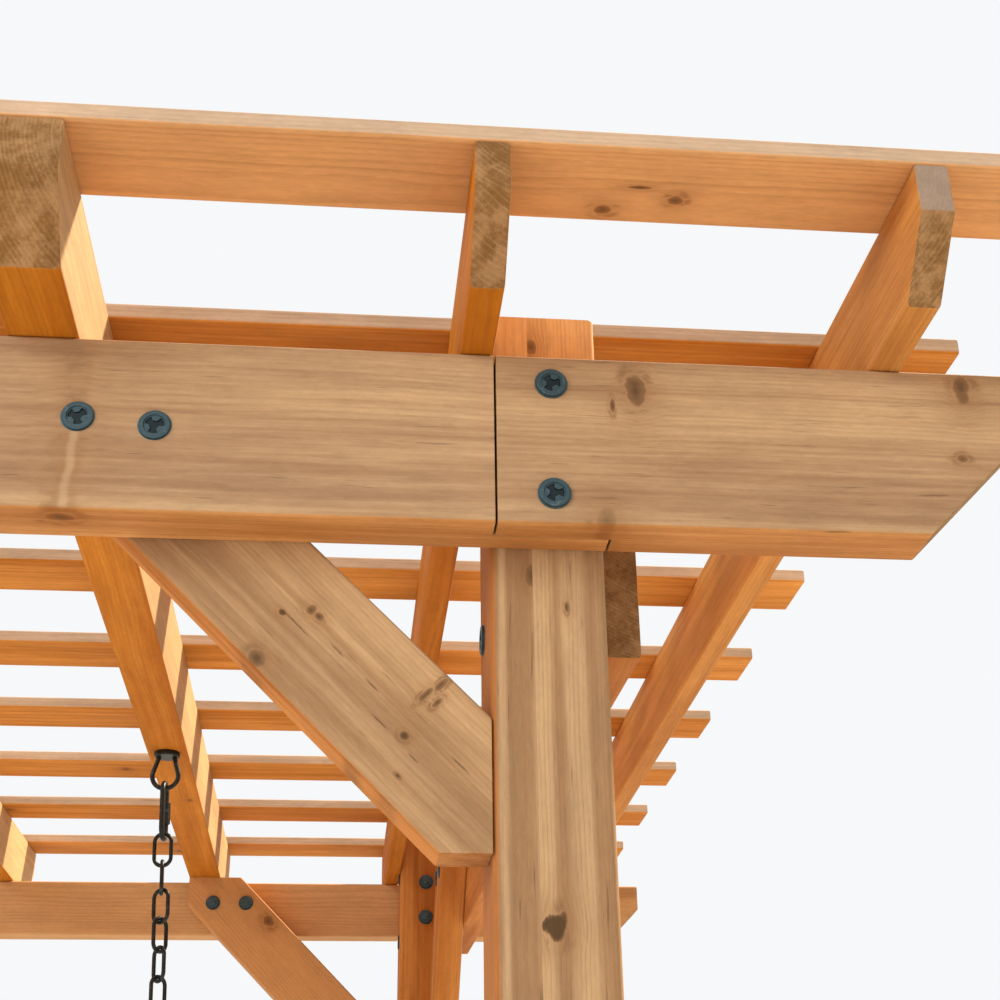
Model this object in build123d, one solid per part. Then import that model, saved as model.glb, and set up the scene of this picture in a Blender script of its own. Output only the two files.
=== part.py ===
from build123d import *
from math import cos, pi, sin
import os

# Overall heights, measured from the ground
ROOF_TOP = 2135.0
SLAT_T = 15.5
RAFTER_H = 89.5
BEAM_H = 140.0
REAR_BEAM_H = RAFTER_H
BEAM_TOP = ROOF_TOP - SLAT_T - RAFTER_H
BEAM_BOTTOM = BEAM_TOP - BEAM_H
POST_TOP = BEAM_TOP + 64.0

# Posts and beams
POST = 85.0
POST_INNER_X = 1003.0
POST_OUTER_X = POST_INNER_X + POST
BEAM_T = 46.0
LAP_T = BEAM_T / 2
BEAM_END_X = 1421.0
BEAM_OUTER_Y = 893.0
BEAM_INNER_Y = BEAM_OUTER_Y - BEAM_T
POST_INNER_Y = BEAM_INNER_Y - POST

# Slanted ends: the upright part of every cut end
NOSE_H = 40.0

# Rafters, given by the distance of their centre lines from the middle
RAFTER_T = 25.0
SWING_RAFTER_T = 52.0
RAFTER_TIP_Y = 1027.0
SWING_RAFTER_X = 673.0
INNER_RAFTER_X = SWING_RAFTER_X / 2
POST_RAFTER_X = POST_INNER_X - RAFTER_T / 2
END_RAFTER_X = 1305.0

# Roof slats
SLAT_W = 85.5
SLAT_COUNT = 9
SLAT_END_X = 1418.0
SLAT_PITCH = (2 * RAFTER_TIP_Y - SLAT_W) / (SLAT_COUNT - 1)

# Side rails on the outer faces of the posts, rising from front to rear
RAIL_T = 32.0
RAIL_H = 140.0
RAIL_RISE = 80.0
RAIL_END_Y = BEAM_INNER_Y - POST / 2
RAIL_FRONT = BEAM_BOTTOM - 66.0
RAIL_REAR = RAIL_FRONT + RAIL_RISE
RAIL_SLOPE = RAIL_RISE / (2 * RAIL_END_Y)

# Knee braces: reach along the beam, drop below it, width across the board and flat foot
BRACE_T = 39.0
BRACE_REACH = 355.0
BRACE_DROP = 224.0
BRACE_W = 94.0
BRACE_TOE = 37.0

# Eased edges of the boards
EASE = 2.5

# Swing hangers and chains
HANGER_Y = 112.0
PLATE_R = 16.5
PLATE_H = 6.5
LOOP_WIRE = 6.0
LOOP_R = 16.5
LOOP_DROP = 50.5
LOOP_BEND = BEAM_TOP - LOOP_DROP + LOOP_WIRE / 2 + LOOP_R
LOOP_NECK = 9.0
HOOK_WIRE = 6.5
HOOK_L = 78.0
HOOK_W = 34.0
HOOK_TURN = 85
SLEEVE_R = 5.7
SLEEVE_L = 28.0
LINK_WIRE = 5.0
LINK_L = 45.5
LINK_W = 26.0
LINK_TURNS = (-5, -85, -30, 50, -50, 45)
CHAIN_LEAN = 2.7
RING_WIRE = 6.0
RING_D = 42.0
PLAY = 0.3
BAR_SIDES = 8
BEND_STEPS = 6


def span(x0, x1, y0, y1, z0, z1):
    """A plain block between two corners."""
    size = (x1 - x0, y1 - y0, z1 - z0)
    middle = ((x0 + x1) / 2, (y0 + y1) / 2, (z0 + z1) / 2)
    return Pos(*middle) * Box(*size)


def eased(board, along):
    """The long edges of a board, taken off a little."""
    return chamfer(board.edges().filter_by(along), EASE)


def nosed_outline(tip, top, height):
    """Side view of a board with both ends cut slanting below an upright nose."""
    low = top - height
    cut = height - NOSE_H
    return [
        (-tip, top),
        (-tip, top - NOSE_H),
        (-tip + cut, low),
        (tip - cut, low),
        (tip, top - NOSE_H),
        (tip, top),
    ]


def prism(outline, plane, depth):
    """An outline made solid, equally to both sides of its plane."""
    return extrude(plane * make_face(Polyline(*outline, close=True)), depth / 2, both=True)


def post(side, end):
    """A square post from the ground to above the beam."""
    middle = POST_INNER_Y + POST / 2
    block = span(-POST / 2, POST / 2, -POST / 2, POST / 2, 0, POST_TOP)
    return Pos(side * (POST_INNER_X + POST / 2), end * middle, 0) * eased(block, Axis.Z)


def whole_beam(height):
    """The full length of a beam in side view, before it is parted at the laps."""
    outline = nosed_outline(BEAM_END_X, BEAM_TOP, height)
    return eased(prism(outline, Plane.XZ, BEAM_T), Axis.X)


def lap_blocks():
    """The space of a beam end piece, on the right: its full part and its outer half."""
    far = BEAM_END_X + BEAM_T
    low, high = BEAM_BOTTOM - BEAM_T, BEAM_TOP + BEAM_T
    full = span(POST_OUTER_X, far, -BEAM_T, BEAM_T, low, high)
    outer_half = span(POST_INNER_X, far, -BEAM_T, -BEAM_T / 2 + LAP_T, low, high)
    return full + outer_half


def beam_middle(height):
    """The long middle board, with a tongue behind each end piece."""
    ends = lap_blocks() + mirror(lap_blocks(), Plane.YZ)
    return whole_beam(height) - ends


def beam_end(height):
    """The right end piece, half-lapped over the post."""
    return whole_beam(height) & lap_blocks()


def at_beam(shape, end):
    """A front beam piece moved to the front (-1) or turned to the rear (1)."""
    placed = Pos(0, -(BEAM_OUTER_Y - BEAM_T / 2), 0) * shape
    return placed if end < 0 else mirror(placed, Plane.XZ)


def rail_bottom(y):
    """Height of a side rail's lower edge, given the place along it."""
    return RAIL_FRONT + RAIL_SLOPE * (y + RAIL_END_Y)


def side_rail():
    """The rail on the outer faces of the right posts, with upright ends."""
    outline = [
        (-RAIL_END_Y, RAIL_FRONT),
        (-RAIL_END_Y, RAIL_FRONT + RAIL_H),
        (RAIL_END_Y, RAIL_REAR + RAIL_H),
        (RAIL_END_Y, RAIL_REAR),
    ]
    board = Pos(POST_OUTER_X + RAIL_T / 2, 0, 0) * prism(outline, Plane.YZ, RAIL_T)
    return eased(board, Axis((0, 0, 0), (0, 1, RAIL_SLOPE)))


def brace_outline(backing, slope=0):
    """A knee brace seen square on, bolted behind a board of the given height.

    The post's face is at 0 across, and the bottom edge of the board is at 0 up where the
    brace ends. The slope is how steeply the board rises towards the post.
    """
    under = BRACE_DROP + BRACE_TOE
    upper = under - BRACE_W * 2 ** 0.5
    corner = (upper + backing + slope * BRACE_REACH) / (1 + slope)
    return [
        (0, -BRACE_DROP),
        (0, -upper),
        (-corner, corner - upper),
        (-BRACE_REACH, backing),
        (-BRACE_REACH, BRACE_REACH - under),
        (-BRACE_TOE, -BRACE_DROP),
    ]


def beam_brace():
    """The brace between the front beam and the right front post; the rear one mirrors it."""
    board = prism(brace_outline(BEAM_H), Plane.XZ, BRACE_T)
    return Pos(POST_INNER_X, -(BEAM_INNER_Y - BRACE_T / 2), BEAM_BOTTOM) * board


def side_brace(end):
    """The brace between the right side rail and a right post, front (-1) or rear (1)."""
    board = prism(brace_outline(RAIL_H, end * RAIL_SLOPE), Plane.YZ, BRACE_T)
    low = rail_bottom(end * (POST_INNER_Y - BRACE_REACH))
    placed = Pos(POST_OUTER_X - BRACE_T / 2, POST_INNER_Y, low) * board
    return placed if end > 0 else mirror(placed, Plane.XZ)


def rafter(x, thickness):
    """A rafter lying on both beams."""
    outline = nosed_outline(RAFTER_TIP_Y, BEAM_TOP + RAFTER_H, RAFTER_H)
    return Pos(x, 0, 0) * eased(prism(outline, Plane.YZ, thickness), Axis.Y)


def slat(index):
    """A roof slat laid flat on the rafters."""
    front = -RAFTER_TIP_Y + index * SLAT_PITCH
    board = span(-SLAT_END_X, SLAT_END_X, front, front + SLAT_W, ROOF_TOP - SLAT_T, ROOF_TOP)
    return eased(board, Axis.X)


def bent_bar(points, wire, closed):
    """Round steel bent in the XZ plane along points, as an eight-sided bar."""
    count = len(points)
    rings = []
    for index, (x, z) in enumerate(points):
        before = points[index - 1] if closed or index else None
        after = points[(index + 1) % count] if closed or index < count - 1 else None
        start = Vector(*(before or (x, z)), 0)
        stop = Vector(*(after or (x, z)), 0)
        here = Vector(x, z, 0)
        into = (here - start).normalized() if before else (stop - here).normalized()
        out = (stop - here).normalized() if after else into
        along = (into + out).normalized()
        stretch = 1 / along.dot(out)
        rings.append([bar_corner(x, z, along, stretch, wire, side) for side in range(BAR_SIDES)])
    faces = []
    for index in range(count if closed else count - 1):
        near, far = rings[index], rings[(index + 1) % count]
        for side in range(BAR_SIDES):
            other = (side + 1) % BAR_SIDES
            corners = (near[side], near[other], far[other], far[side])
            faces.append(Face(Wire.make_polygon(corners)))
    if not closed:
        faces.append(Face(Wire.make_polygon(rings[0])))
        faces.append(Face(Wire.make_polygon(rings[-1])))
    return Solid(Shell(faces))


def bar_corner(x, z, along, stretch, wire, side):
    """One corner of the bar's cross-section at a bend, cut across the bend."""
    turn = 2 * pi * (side + 0.5) / BAR_SIDES
    out = wire / 2 * cos(turn) * stretch
    return Vector(x + out * along.Y, wire / 2 * sin(turn), z - out * along.X)


def bend_points(radius, height, first, last):
    """Corners around one bend between two angles, given in steps of the bend."""
    step = pi / BEND_STEPS
    reach = radius / cos(step / 2)
    angles = [(index + 0.5) * step for index in range(first, last)]
    return [(reach * cos(angle), height + reach * sin(angle)) for angle in angles]


def hanger():
    """Plate and pear-shaped loop that carry one chain, under the right swing rafter."""
    neck = BEAM_TOP - PLATE_H / 2
    around = bend_points(LOOP_R, LOOP_BEND, BEND_STEPS, 2 * BEND_STEPS)
    points = [(-LOOP_NECK, neck), *around, (LOOP_NECK, neck)]
    loop = bent_bar(points, LOOP_WIRE, closed=False)
    plate = Pos(0, 0, BEAM_TOP - PLATE_H / 2) * Cylinder(PLATE_R, PLATE_H)
    return Pos(SWING_RAFTER_X, HANGER_Y, 0) * (plate + loop)


def oval(length, width, wire):
    """A closed oval of round steel, standing upright across the Y axis."""
    radius = (width - wire) / 2
    half = (length - wire) / 2 - radius
    upper = bend_points(radius, half, 0, BEND_STEPS)
    lower = bend_points(radius, -half, BEND_STEPS, 2 * BEND_STEPS)
    return bent_bar(upper + lower, wire, closed=True)


def chain():
    """Long hook link, chain links and end ring, drawn taut and a little outwards."""
    sleeve = Pos((HOOK_W - HOOK_WIRE) / 2, 0, -SLEEVE_L / 2) * extrude(
        RegularPolygon(SLEEVE_R, 6), SLEEVE_L)
    links = [(HOOK_L, HOOK_W, HOOK_WIRE, HOOK_TURN)]
    links += [(LINK_L, LINK_W, LINK_WIRE, turn) for turn in LINK_TURNS]
    links += [(RING_D, RING_D, RING_WIRE, LINK_TURNS[-1] + 90)]
    hook_eye = Pos(SWING_RAFTER_X, HANGER_Y, LOOP_BEND) * Rot(0, -CHAIN_LEAN, 0)
    low, above = -LOOP_R - LOOP_WIRE / 2, LOOP_WIRE
    hung = []
    for length, width, wire, turn in links:
        high = low + above + wire + PLAY
        link = oval(length, width, wire)
        if not hung:
            link = link + sleeve
        spot = hook_eye * Pos(0, 0, high - length / 2)
        hung.append(spot * Rot(0, 0, turn) * link)
        low, above = high - length, wire
    return Compound(children=hung)


def make_parts():
    """Every named piece of the pergola."""
    parts = {}
    for end, where, height in ((-1, "front", BEAM_H), (1, "rear", REAR_BEAM_H)):
        parts[f"{where}_beam"] = at_beam(beam_middle(height), end)
        right_end = at_beam(beam_end(height), end)
        parts[f"{where}_right_beam_end"] = right_end
        parts[f"{where}_left_beam_end"] = mirror(right_end, Plane.YZ)
        brace = beam_brace() if end < 0 else mirror(beam_brace(), Plane.XZ)
        parts[f"{where}_right_knee_brace"] = brace
        parts[f"{where}_left_knee_brace"] = mirror(brace, Plane.YZ)
        strut = side_brace(end)
        parts[f"{where}_right_side_brace"] = strut
        parts[f"{where}_left_side_brace"] = mirror(strut, Plane.YZ)
        parts[f"{where}_right_post"] = post(1, end)
        parts[f"{where}_left_post"] = post(-1, end)
    parts["centre_rafter"] = rafter(0, RAFTER_T)
    for side, where in ((1, "right"), (-1, "left")):
        parts[f"{where}_inner_rafter"] = rafter(side * INNER_RAFTER_X, RAFTER_T)
        parts[f"{where}_swing_rafter"] = rafter(side * SWING_RAFTER_X, SWING_RAFTER_T)
        parts[f"{where}_post_rafter"] = rafter(side * POST_RAFTER_X, RAFTER_T)
        parts[f"{where}_end_rafter"] = rafter(side * END_RAFTER_X, RAFTER_T)
    parts["right_side_rail"] = side_rail()
    parts["left_side_rail"] = mirror(side_rail(), Plane.YZ)
    for index in range(SLAT_COUNT):
        parts[f"roof_slat_{index + 1}"] = slat(index)
    parts["right_swing_hanger"] = hanger()
    parts["left_swing_hanger"] = mirror(hanger(), Plane.YZ)
    parts["right_swing_chain"] = chain()
    parts["left_swing_chain"] = mirror(chain(), Plane.YZ)
    return parts


os.makedirs("parts", exist_ok=True)
for name, shape in make_parts().items():
    export_step(shape, f"parts/{name}.step")
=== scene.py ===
import math
import random

import bmesh
import bpy
from mathutils import Matrix, Vector


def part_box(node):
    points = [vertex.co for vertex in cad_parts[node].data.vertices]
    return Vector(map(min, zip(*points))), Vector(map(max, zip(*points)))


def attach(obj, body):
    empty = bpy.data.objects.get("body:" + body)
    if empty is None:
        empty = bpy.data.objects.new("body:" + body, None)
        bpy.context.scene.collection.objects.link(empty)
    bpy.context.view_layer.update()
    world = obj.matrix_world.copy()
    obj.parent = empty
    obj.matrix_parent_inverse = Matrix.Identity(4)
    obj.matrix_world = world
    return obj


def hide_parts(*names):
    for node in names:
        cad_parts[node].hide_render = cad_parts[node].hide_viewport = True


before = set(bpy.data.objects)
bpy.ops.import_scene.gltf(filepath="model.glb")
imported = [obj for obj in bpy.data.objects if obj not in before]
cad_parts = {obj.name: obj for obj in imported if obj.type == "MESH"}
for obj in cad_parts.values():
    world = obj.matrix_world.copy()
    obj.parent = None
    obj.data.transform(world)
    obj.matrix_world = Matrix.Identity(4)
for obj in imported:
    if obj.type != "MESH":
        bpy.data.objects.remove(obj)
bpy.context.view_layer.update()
body = "root"

X = Vector((1, 0, 0))
Y = Vector((0, 1, 0))
Z = Vector((0, 0, 1))
MM = 0.001

# Sizes of the boards that are not read from the frame
NOSE_H = 40 * MM
RAIL_H = 140 * MM
BRACE_TOE = 37 * MM
BRACE_W = 94 * MM
JOINT_GROOVE = 1.4 * MM

# How far the edges are rounded, what counts as the same place or as on the axis, and the weld
EASED_LONG = 3 * MM
EASED_POST = 6 * MM
EASED_BEAM = 4 * MM
EASED_END = 1 * MM
NEAR = 0.01 * MM
ON_AXIS = 0.5 * MM
WELD = 0.02 * MM

# Bolts: a flanged head with a raised ring and a lobed recess, a nut, a washer and a threaded rod
BOLT_R = 12.3 * MM
BOLT_SIDES = 48
HEAD_H = 3.2 * MM
FLANGE_H = 1.2 * MM
FLANGE_W = 1.0 * MM
FLANGE_EASE = 0.5 * MM
RING_STEEP = 0.8
RING_SHOULDER = 0.3 * MM
RING_W = 2.6 * MM
RING_DRAFT = 0.96
RECESS_STEP = 0.95 * MM
RECESS_LEDGE = 0.6 * MM
RECESS_R = BOLT_R * 0.64
RECESS_DRAFT = 0.94
LOBES = 3
LOBE_R = BOLT_R * 0.58
LOBE_GAP = 0.23
LOBE_PINCH = 0.5
LOBE_DRAFT = 0.9
NUT_R = 10.5 * MM
NUT_H = 8 * MM
NUT_EASE = 0.9 * MM
WASHER_R = 12 * MM
WASHER_H = 1.5 * MM
WASHER_EASE = 0.3 * MM
ROD_R = 4.8 * MM
ROD_OUT = 5 * MM
THREADS = 4
THREAD_ROOT = 0.86
ROD_TIP = 0.8

# Screws in the slats: size, places across the slat and how far they stray
SCREW_R = 4.2 * MM
SCREW_L = 1 * MM
SCREW_PROUD = 0.3 * MM
CROSS_INSET = 1.5 * MM
CROSS_PINCH = 0.45
CROSS_DEPTH = 0.8 * MM
CROSS_DRAFT = 0.8
SCREW_SHARES = (0.26, 0.74)
SCREW_STRAY = 3 * MM

# Seeds for how the bolts and the screws happen to be turned
BOLT_SEED = 31
SCREW_SEED = 7

# Where the bolts go: up from the lower edge of the board they hold, and along from the post
BEAM_BOLT_SHARES = (0.175, 0.825)
RAIL_BOLTS_UP = (16.4 * MM, 123.6 * MM)
RAIL_BOLT_IN = 28 * MM
RAIL_BOLT_SUNK = 0.8 * MM
BRACE_BOLT_SUNK = 1.1 * MM
FRONT_BRACE_BOLTS = ((243.4 * MM, 68.5 * MM), (297.7 * MM, 73.6 * MM))
REAR_BRACE_BOLTS = ((258 * MM, 46.5 * MM), (313 * MM, 46.5 * MM))
SIDE_BRACE_BOLTS = ((236.4 * MM, 75.8 * MM), (308.5 * MM, 75.8 * MM))

# The hangers and chains, from the top down; a link is its length, width and wire, with its turn in
# degrees where it is always the same
PLATE_R = 16.5 * MM
PLATE_H = 6.5 * MM
PLATE_EASE = 2.2 * MM
LOOP_R = 16.5 * MM
LOOP_WIRE = 6 * MM
LOOP_DROP = 50.5 * MM
LOOP_NECK = 9 * MM
LOOP_BEND = LOOP_R + LOOP_WIRE / 2 - LOOP_DROP
HOOK_LINK = (78 * MM, 34 * MM, 6.5 * MM, 85)
SLEEVE_R = 5.7 * MM
SLEEVE_L = 28 * MM
SLEEVE_EASE = 0.7 * MM
CHAIN_LINK = (45.5 * MM, 26 * MM, 5 * MM)
CHAIN_TURNS = (-5, -85, -30, 50, -50, 45)
CHAIN_LEAN = math.radians(2.7)
END_RING = (42 * MM, 42 * MM, 6 * MM, 135)
PLAY = 0.3 * MM


def corners(node):
    """Lowest and highest corners of a node, as vectors."""
    low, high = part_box(node)
    return Vector(low), Vector(high)


# Modelling tools

def deselect():
    bpy.ops.object.select_all(action="DESELECT")


def name_as(piece, name):
    piece.name = name
    piece.data.name = name
    return piece


def settle():
    """Turns the placing of the active piece into its mesh's own coordinates."""
    bpy.ops.object.transform_apply(location=True, rotation=True, scale=True)


def open_new(name):
    """Names the piece that was just added and opens it for editing."""
    piece = name_as(bpy.context.object, name)
    settle()
    bpy.ops.object.mode_set(mode="EDIT")
    return piece


def block(name, low, high):
    """Starts a piece as a block between two corners."""
    deselect()
    bpy.ops.mesh.primitive_cube_add(size=1, location=(low + high) / 2, scale=high - low)
    return open_new(name)


def select_all():
    bpy.ops.mesh.select_all(action="SELECT")


def choose(piece, kind, test):
    """Selects, in edit mode, the verts, edges or faces that pass a test."""
    mode = {"verts": "VERT", "edges": "EDGE", "faces": "FACE"}[kind]
    bpy.ops.mesh.select_mode(type=mode)
    bpy.ops.mesh.select_all(action="DESELECT")
    form = bmesh.from_edit_mesh(piece.data)
    for element in getattr(form, kind):
        element.select_set(bool(test(element)))
    form.select_flush_mode()
    bmesh.update_edit_mesh(piece.data)


def saw(point, normal):
    """Saws through the piece: what lies on the side of the normal comes off."""
    bpy.ops.mesh.select_mode(type="FACE")
    select_all()
    bpy.ops.mesh.bisect(plane_co=point, plane_no=normal, use_fill=True, clear_outer=True)


def middle_of(face):
    return face.calc_center_median()


def push(value):
    """Extrudes what is selected by a distance."""
    bpy.ops.mesh.extrude_region_move(TRANSFORM_OT_translate={"value": value})


def is_sharp(edge, angle=0.3):
    return edge.calc_face_angle(0) > angle


def soften(width, segments):
    """Rounds the chosen edges."""
    bpy.ops.mesh.bevel(offset=width, segments=segments, profile=0.5, affect="EDGES")


def ease(piece, grain, long_edge):
    """Rounds the long edges of a board well and its end edges a little."""
    def runs_long(edge):
        way = (edge.verts[1].co - edge.verts[0].co).normalized()
        return is_sharp(edge) and abs(way.dot(grain)) > 0.99

    def rims_end(edge):
        steep = [abs(face.normal.dot(grain)) > 0.6 for face in edge.link_faces]
        return is_sharp(edge) and any(steep)

    choose(piece, "edges", runs_long)
    soften(long_edge, 4)
    choose(piece, "edges", rims_end)
    soften(EASED_END, 2)


def close(piece):
    """Ends the editing: slivers are welded, faces turned outwards and roundings shaded smooth."""
    select_all()
    bpy.ops.mesh.remove_doubles(threshold=WELD)
    bpy.ops.mesh.dissolve_degenerate(threshold=WELD)
    select_all()
    bpy.ops.mesh.normals_make_consistent(inside=False)
    bpy.ops.object.mode_set(mode="OBJECT")
    bpy.ops.object.shade_smooth_by_angle(angle=math.radians(35))
    bpy.ops.object.modifier_add(type="WEIGHTED_NORMAL")
    piece.modifiers[-1].keep_sharp = True
    bpy.ops.object.modifier_apply(modifier=piece.modifiers[-1].name)
    return piece


def seat(piece, material, slot, *nodes):
    """Gives a piece its finish and seats it in the frame, in place of its nodes."""
    if not piece.data.materials:
        piece.data.materials.append(material)
    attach(piece, body)
    if nodes:
        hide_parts(*nodes)
    return piece


def join(name, pieces):
    """Makes one piece of several."""
    deselect()
    for piece in pieces:
        piece.select_set(True)
    bpy.context.view_layer.objects.active = pieces[0]
    bpy.ops.object.join()
    return name_as(pieces[0], name)


def copy_to(pattern, name, turn):
    """Copies a finished pattern, with its own mesh, to where a matrix puts it."""
    deselect()
    pattern.select_set(True)
    bpy.context.view_layer.objects.active = pattern
    bpy.ops.object.duplicate(linked=False)
    piece = name_as(bpy.context.object, name)
    piece.matrix_world = turn
    settle()
    return piece


def facing(spot, way, spin=0.0):
    """The matrix that puts a pattern's foot on a spot, with its top looking along way."""
    aim = way.to_track_quat("Z", "Y").to_matrix().to_4x4()
    return Matrix.Translation(spot) @ aim @ Matrix.Rotation(spin, 4, "Z")


# Materials

class Finish:
    """A material's nodes, added one by one."""

    def __init__(self, name, **constants):
        self.material = bpy.data.materials.new(name)
        self.material.use_nodes = True
        self.tree = self.material.node_tree
        self.shader = self.tree.nodes["Principled BSDF"]
        for socket, value in constants.items():
            self.shader.inputs[socket.replace("_", " ")].default_value = value

    def add(self, kind, settings=None, sockets=None, output=0):
        """One node: its settings first, then the values or links of its sockets."""
        node = self.tree.nodes.new("ShaderNode" + kind)
        for key, value in (settings or {}).items():
            setattr(node, key, value)
        for key, value in (sockets or {}).items():
            self.plug(node.inputs[key], value)
        return Wire(self, node.outputs[output])

    def plug(self, socket, value):
        if isinstance(value, Wire):
            self.tree.links.new(value.socket, socket)
        else:
            socket.default_value = value

    def maths(self, operation, *values):
        return self.add("Math", {"operation": operation}, dict(enumerate(values)))

    def smooth(self, value, low, high):
        """A soft step from 0 at the low value to 1 at the high one."""
        return self.add("MapRange", {"interpolation_type": "SMOOTHSTEP"},
                        {0: value, 1: low, 2: high})

    def mix(self, share, one, other):
        """Blends two colours."""
        return self.add("Mix", {"data_type": "RGBA"}, {0: share, 6: one, 7: other}, 2)

    def multiply(self, colour, grey):
        """Darkens or lightens a colour by a number."""
        return self.add("VectorMath", {"operation": "SCALE"}, {0: colour, "Scale": grey})

    def vector(self, x, y, z):
        return self.add("CombineXYZ", None, {0: x, 1: y, 2: z})

    def noise(self, place, scale, detail=2.0, roughness=0.5):
        return self.add("TexNoise", None, {"Vector": place, "Scale": scale, "Detail": detail,
                                           "Roughness": roughness})

    def parts(self, vector):
        node = self.tree.nodes.new("ShaderNodeSeparateXYZ")
        self.plug(node.inputs[0], vector)
        return [Wire(self, out) for out in node.outputs]

    def set(self, **links):
        for socket, value in links.items():
            self.plug(self.shader.inputs[socket.replace("_", " ")], value)

    def bump(self, height, strength=1.0):
        """Height in metres, felt as bumps."""
        normal = self.add("Bump", None, {"Height": height, "Distance": 1.0, "Strength": strength})
        self.plug(self.shader.inputs["Normal"], normal)


class Wire:
    """One socket of a material, so that its maths is written as plain expressions."""

    def __init__(self, finish, socket):
        self.finish = finish
        self.socket = socket

    def __add__(self, other):
        return self.finish.maths("ADD", self, other)

    def __sub__(self, other):
        return self.finish.maths("SUBTRACT", self, other)

    def __rsub__(self, other):
        return self.finish.maths("SUBTRACT", other, self)

    def __mul__(self, other):
        return self.finish.maths("MULTIPLY", self, other)

    def __truediv__(self, other):
        return self.finish.maths("DIVIDE", self, other)

    def __abs__(self):
        return self.finish.maths("ABSOLUTE", self)

    __radd__ = __add__
    __rmul__ = __mul__

    def root(self):
        return self.finish.maths("SQRT", self)

    def exp(self):
        return self.finish.maths("EXPONENT", self)

    def part_of_one(self):
        return self.finish.maths("FRACT", self)

    def whole(self):
        return self.finish.maths("FLOOR", self)

    def most(self, other):
        return self.finish.maths("MAXIMUM", self, other)


# Cedar colours by kind of board: pale and deep where sheltered, then pale and deep where weathered
FRAME_TONES = ((0.62, 0.25, 0.060, 1), (0.44, 0.14, 0.022, 1),
               (0.53, 0.35, 0.19, 1), (0.34, 0.20, 0.10, 1))
BEAM_TONES = ((0.63, 0.30, 0.100, 1), (0.42, 0.165, 0.045, 1),
              (0.55, 0.375, 0.215, 1), (0.33, 0.20, 0.108, 1))
RAFTER_TONES = ((0.62, 0.22, 0.018, 1), (0.44, 0.13, 0.005, 1),
                (0.62, 0.42, 0.21, 1), (0.48, 0.30, 0.14, 1))
SLAT_TONES = ((0.68, 0.28, 0.055, 1), (0.48, 0.16, 0.015, 1),
              (0.59, 0.43, 0.30, 1), (0.45, 0.31, 0.20, 1))
TONES = {"_rafter": RAFTER_TONES, "slat": SLAT_TONES, "_beam": BEAM_TONES}

# Colours of late wood, end grain, knots, stains and cracks
LATE_WOOD = (0.26, 0.09, 0.02, 1)
WEATHERED_LATE = (0.21, 0.115, 0.055, 1)
END_GRAIN = (0.17, 0.09, 0.033, 1)
END_PALE = (0.42, 0.25, 0.12, 1)
END_BLEACHED = (0.34, 0.275, 0.225, 1)
KNOT_GLOW = (0.36, 0.17, 0.065, 1)
KNOT_HEART = (0.085, 0.045, 0.018, 1)
KNOT_FILL = (0.20, 0.115, 0.055, 1)
KNOT_WARM = (0.24, 0.075, 0.014, 1)
DRIED_STAIN = (0.62, 0.42, 0.24, 1)
CRACK = (0.035, 0.018, 0.01, 1)

# Colours of the coated steel, and the shade painted into the deep part of the bolt heads' recesses
BOLT_STEEL = (0.045, 0.082, 0.095, 1)
# Painted shade: a near-black colour put in the deep lobes of the bolt recesses, where shade falls
RECESS_PAINTED_SHADE = (0.010, 0.019, 0.022, 1)
CHAIN_STEEL = (0.018, 0.020, 0.017, 1)
WORN_STEEL = (0.14, 0.19, 0.21, 1)

# Growth rings: their gap, how far they sway and ripple, and how far off a glued stave's wood grew
RING_GAP = 3.1 * MM
SWAY = 22 * MM
RIPPLE = 3.5 * MM
STAVE_SHIFT = 0.37
SEAM_HALF = 0.2 * MM

# Noises in the grain: size along it and across it in metres, then detail and roughness
KNOT_WOBBLE = (0.014, 0.008, 3.0)
RING_SWAY = (0.55, 0.16, 1.0)
RING_RIPPLE = (0.11, 0.03)
BROAD_STREAKS = (0.7, 0.05, 3.0)
FINE_STREAKS = (0.25, 0.009, 3.0, 0.6)
CLOUDS = (0.07, 0.022, 3.0, 0.6)
FIBRES = (0.05, 0.0011, 2.0, 0.7)
FUZZ = (0.010, 0.003, 3.0, 0.75)
HAIR_CRACKS = (0.06, 0.003, 2.0, 0.7)
BAND_DRIFT = (0.3, 0.02)
CRACK_DRIFT = (0.03, 0.02)
RUN_DRIFT = (0.9, 0.03)

# How high the fibres, the fuzz, the late wood and the knots stand, and how deep the cracks are
FIBRE_RELIEF = 0.12 * MM
FUZZ_RELIEF = 0.10 * MM
LATE_RELIEF = 0.10 * MM
KNOT_RELIEF = 0.15 * MM
CRACK_DEPTH = 0.6 * MM


class Board:
    """How one board was sawn from the log, and what shows on it.

    It lies along its grain, with its wide face across and its thickness through. The weather is
    the way that its dulled side looks, and the pith is where the log's middle was.
    """

    def __init__(self, box, grain, across, seed, weather, tones, pith=None, marks=None):
        self.centre = (box[0] + box[1]) / 2
        self.size = box[1] - box[0]
        self.grain = grain.normalized()
        self.across = across.normalized()
        self.through = self.grain.cross(self.across)
        self.draw = random.Random(seed)
        chance_pith = (self.draw.uniform(*PITH_ASIDE),
                       self.draw.choice((-1, 1)) * self.draw.uniform(*PITH_DEEP))
        self.pith = pith or chance_pith
        self.weather = Vector(weather)
        self.tones = tones
        self.marks = marks or {}

    def place(self, spot):
        """Where a point of the pergola, in millimetres, lies along, across and through the board."""
        out = Vector(spot) * MM - self.centre
        return out.dot(self.grain), out.dot(self.across), out.dot(self.through)

    def on_edge(self, spot):
        """Whether a point is on a narrow face, above or below."""
        _, aside, deep = self.place(spot)
        nearly_half = 0.45
        return (abs(aside) > nearly_half * abs(self.size.dot(self.across))
                and abs(deep) < nearly_half * abs(self.size.dot(self.through)))


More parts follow.
